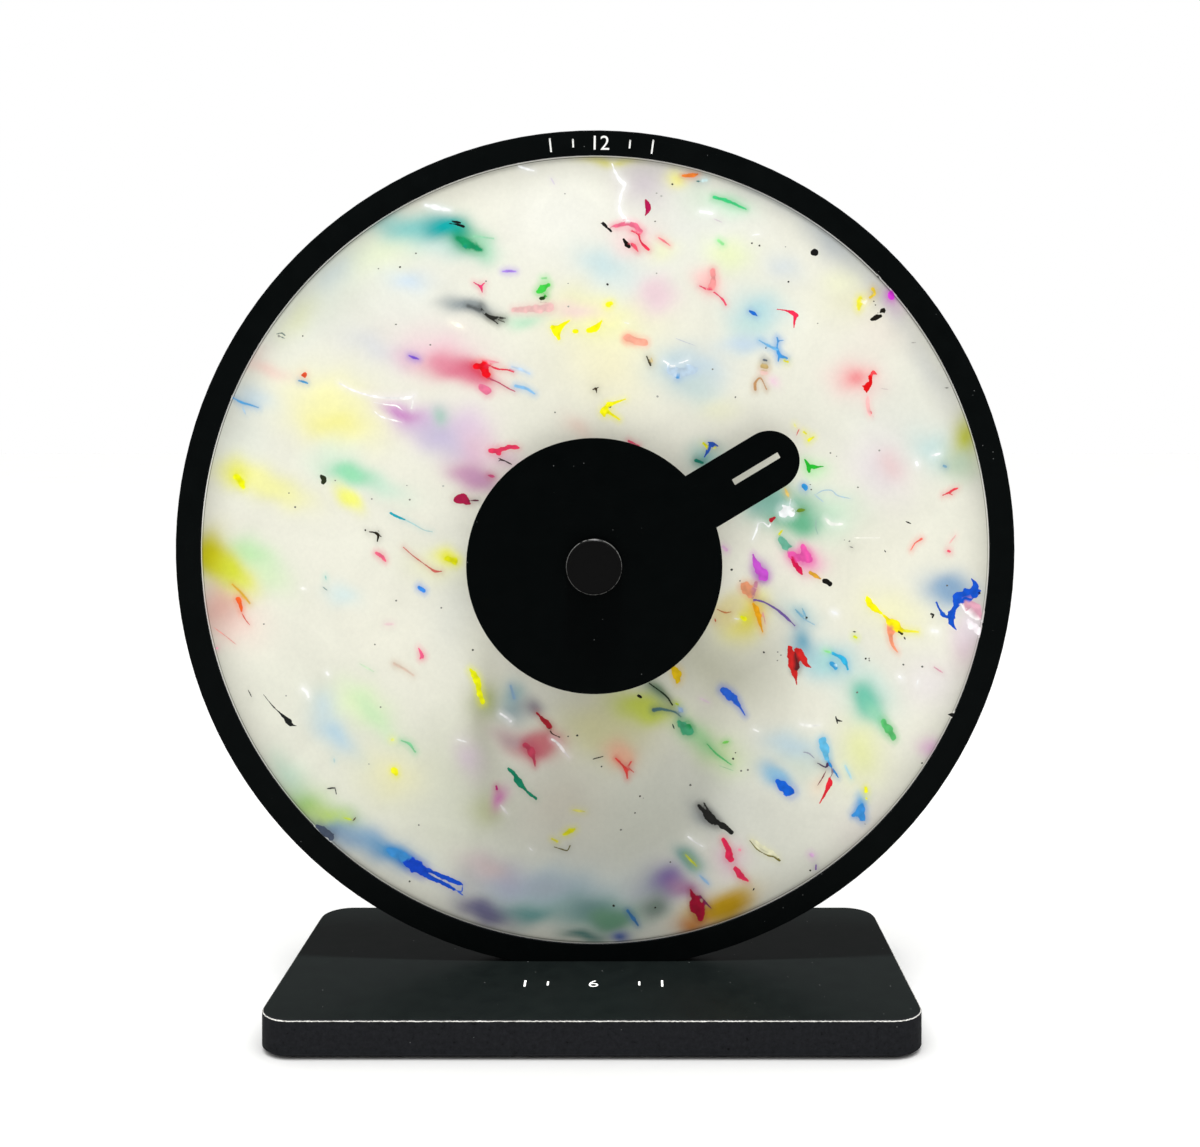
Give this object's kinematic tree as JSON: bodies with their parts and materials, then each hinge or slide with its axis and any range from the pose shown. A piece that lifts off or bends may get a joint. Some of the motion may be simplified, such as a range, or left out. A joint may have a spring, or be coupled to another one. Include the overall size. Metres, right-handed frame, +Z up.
{
  "type": "tide clock",
  "caption": "Free-standing tide clock: a translucent flecked disc in a black ring on a slab base, a round hand with a slit tab, and a battery movement behind.",
  "frame": {"origin": "on the table under the feet, below the middle of the slab", "axes": "+X to the viewer's right, +Y away from the viewer, +Z up; the dial faces -Y"},
  "size_m": [0.268, 0.097, 0.2769],
  "materials": {
    "black_board": "satin",
    "rubber_black": "matt",
    "dial_plastic": "translucent satin",
    "screw_steel": "satin",
    "brass": "satin",
    "gear_plastic": "satin",
    "magnet": "matt",
    "core_steel": "satin",
    "bobbin_plastic": "satin",
    "copper_wire": "satin",
    "board_laminate": "satin",
    "epoxy": "gloss",
    "crystal_can": "polished",
    "case_plastic": "satin",
    "cell_jacket": "printed foil",
    "contact_steel": "satin",
    "hub_plastic": "satin",
    "hand_laminate": "satin",
    "cap_plastic": "satin"
  },
  "bodies": {
    "stand": {"base_slab": "black_board", "base_feet": "rubber_black", "ring_frame": "black_board", "ring_screws": "screw_steel", "dial_disc": "dial_plastic", "dial_screws": "screw_steel", "movement_gasket": "rubber_black", "threaded_bush": "brass", "dial_washer": "brass", "dial_nut": "brass", "stator_plate": "core_steel", "coil_core": "core_steel", "coil_bobbin": "bobbin_plastic", "coil_winding": "copper_wire", "circuit_board": "board_laminate", "chip_cap": "epoxy", "quartz_crystal": "crystal_can", "movement_case_front": "case_plastic", "movement_case_rear": "case_plastic", "battery_contact_positive": "contact_steel", "battery_contact_negative": "contact_steel"},
    "hand": {"tide_wheel": "gear_plastic", "hand_hub": "hub_plastic", "hand_plate": "hand_laminate", "centre_cap": "cap_plastic"},
    "setting_arbor": {"intermediate_wheel": "gear_plastic", "set_knob": "case_plastic"},
    "third_arbor": {"third_wheel": "gear_plastic"},
    "rotor": {"rotor_pinion": "gear_plastic", "rotor_magnet": "magnet"},
    "battery": {"battery_cell": "cell_jacket"}
  },
  "joints": [
    {"name": "hand_turn", "type": "hinge", "parent": "stand", "child": "hand", "pos_m": [0, 0, 0.1386], "axis": [0, 1, 0], "continuous": true},
    {"name": "setting_turn", "type": "hinge", "parent": "stand", "child": "setting_arbor", "pos_m": [-0.0075, 0, 0.1486], "axis": [0, 1, 0], "continuous": true},
    {"name": "third_turn", "type": "hinge", "parent": "stand", "child": "third_arbor", "pos_m": [0.0045, 0, 0.1521], "axis": [0, 1, 0], "continuous": true},
    {"name": "rotor_turn", "type": "hinge", "parent": "stand", "child": "rotor", "pos_m": [0.01657, 0, 0.14886], "axis": [0, 1, 0], "continuous": true},
    {"name": "battery_slide", "type": "slide", "parent": "stand", "child": "battery", "axis": [0, 1, 0], "range_m": [0, 0.02]}
  ],
  "couplings": [
    {"joint": "setting_turn", "follows": "hand_turn", "ratio": -4},
    {"joint": "third_turn", "follows": "hand_turn", "ratio": 16},
    {"joint": "rotor_turn", "follows": "hand_turn", "ratio": -64}
  ]
}
